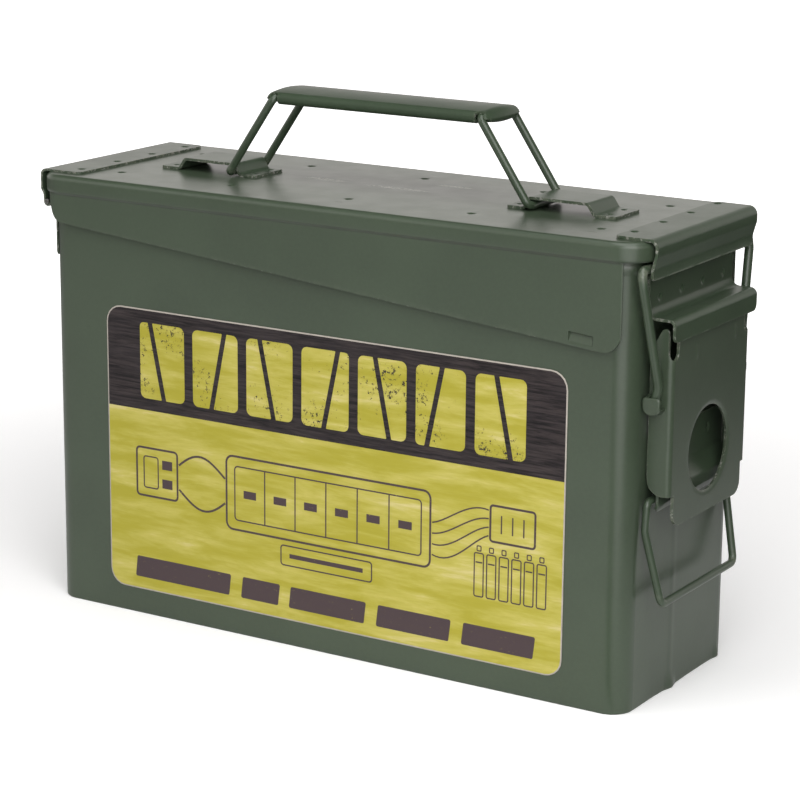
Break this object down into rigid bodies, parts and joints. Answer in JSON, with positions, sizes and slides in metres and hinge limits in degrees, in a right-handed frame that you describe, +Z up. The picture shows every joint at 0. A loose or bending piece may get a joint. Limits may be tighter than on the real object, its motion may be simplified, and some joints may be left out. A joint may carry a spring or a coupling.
{
  "type": "lidded steel storage can",
  "caption": "Rectangular steel battery storage can with a gasketed hinged lid, folding top handle, end latch with lever and pull ring.",
  "frame": {"origin": "centre of the underside, on the flat middle of the bottom pan", "axes": "+X towards the latch end, -Y towards the labelled side, +Z up"},
  "size_m": [0.2806, 0.0966, 0.2139],
  "materials": {
    "can_paint": "olive green semi-gloss baked enamel on pressed sheet steel",
    "lid_paint": "olive green semi-gloss baked enamel on pressed sheet steel",
    "fitting_paint": "olive green semi-gloss enamel on small pressed fittings, worn at the edges",
    "wire_paint": "olive green semi-gloss enamel on bent steel wire",
    "bare_steel": "plain steel pin",
    "gasket_rubber": "dark grey moulded rubber",
    "label_print": "satin printed sticker: dark wood-grain band over a streaked lime panel"
  },
  "bodies": {
    "can": {"body_shell": "can_paint", "bottom_pan": "can_paint", "hinge_bracket": "fitting_paint", "hinge_pin": "bare_steel", "keeper": "fitting_paint", "ring_bracket": "fitting_paint", "label": "label_print"},
    "lid": {"lid_shell": "lid_paint", "gasket_retainer": "lid_paint", "gasket": "gasket_rubber", "hinge_strap": "fitting_paint", "catch_flap": "fitting_paint", "handle_bracket_left": "fitting_paint", "handle_bracket_right": "fitting_paint"},
    "handle_foot": {"handle_foot_left": "wire_paint"},
    "handle_left": {"handle_link_left": "wire_paint"},
    "grip": {"handle_grip": "fitting_paint"},
    "handle_right": {"handle_link_right": "wire_paint"},
    "bail": {"latch_bail": "wire_paint"},
    "lever": {"latch_lever": "fitting_paint"},
    "ring": {"pull_ring": "wire_paint"}
  },
  "joints": [
    {"name": "lid_hinge", "type": "hinge", "parent": "can", "child": "lid", "pos_m": [-0.1343, 0, 0.1652], "axis": [0, -1, 0], "range_deg": [0, 105]},
    {"name": "handle_foot_slide", "type": "slide", "parent": "lid", "child": "handle_foot", "axis": [1, 0, 0], "range_m": [-0.0166, 0]},
    {"name": "handle_fold", "type": "hinge", "parent": "handle_foot", "child": "handle_left", "pos_m": [-0.0659, 0, 0.1795], "axis": [0, 1, 0], "range_deg": [0, 52.5]},
    {"name": "handle_grip_turn", "type": "hinge", "parent": "handle_left", "child": "grip", "pos_m": [-0.0443, 0, 0.211], "axis": [0, 1, 0], "range_deg": [-52.5, 0]},
    {"name": "handle_right_turn", "type": "hinge", "parent": "grip", "child": "handle_right", "pos_m": [0.0485, 0, 0.211], "axis": [0, 1, 0], "range_deg": [-52.5, 0]},
    {"name": "bail_swing", "type": "hinge", "parent": "can", "child": "bail", "pos_m": [0.13375, 0, 0.1675], "axis": [0, -1, 0], "range_deg": [0, 40]},
    {"name": "lever_swing", "type": "hinge", "parent": "bail", "child": "lever", "pos_m": [0.1353, 0, 0.1173], "axis": [0, -1, 0], "range_deg": [0, 64]},
    {"name": "ring_swing", "type": "hinge", "parent": "can", "child": "ring", "pos_m": [0.1333, 0, 0.08], "axis": [0, -1, 0], "range_deg": [0, 80]}
  ],
  "couplings": [
    {"joint": "handle_foot_slide", "follows": "handle_fold", "m_per_rad": -0.018},
    {"joint": "handle_grip_turn", "follows": "handle_fold", "ratio": -1},
    {"joint": "handle_right_turn", "follows": "handle_fold", "ratio": -1},
    {"joint": "lever_swing", "follows": "bail_swing", "ratio": 1.6}
  ]
}
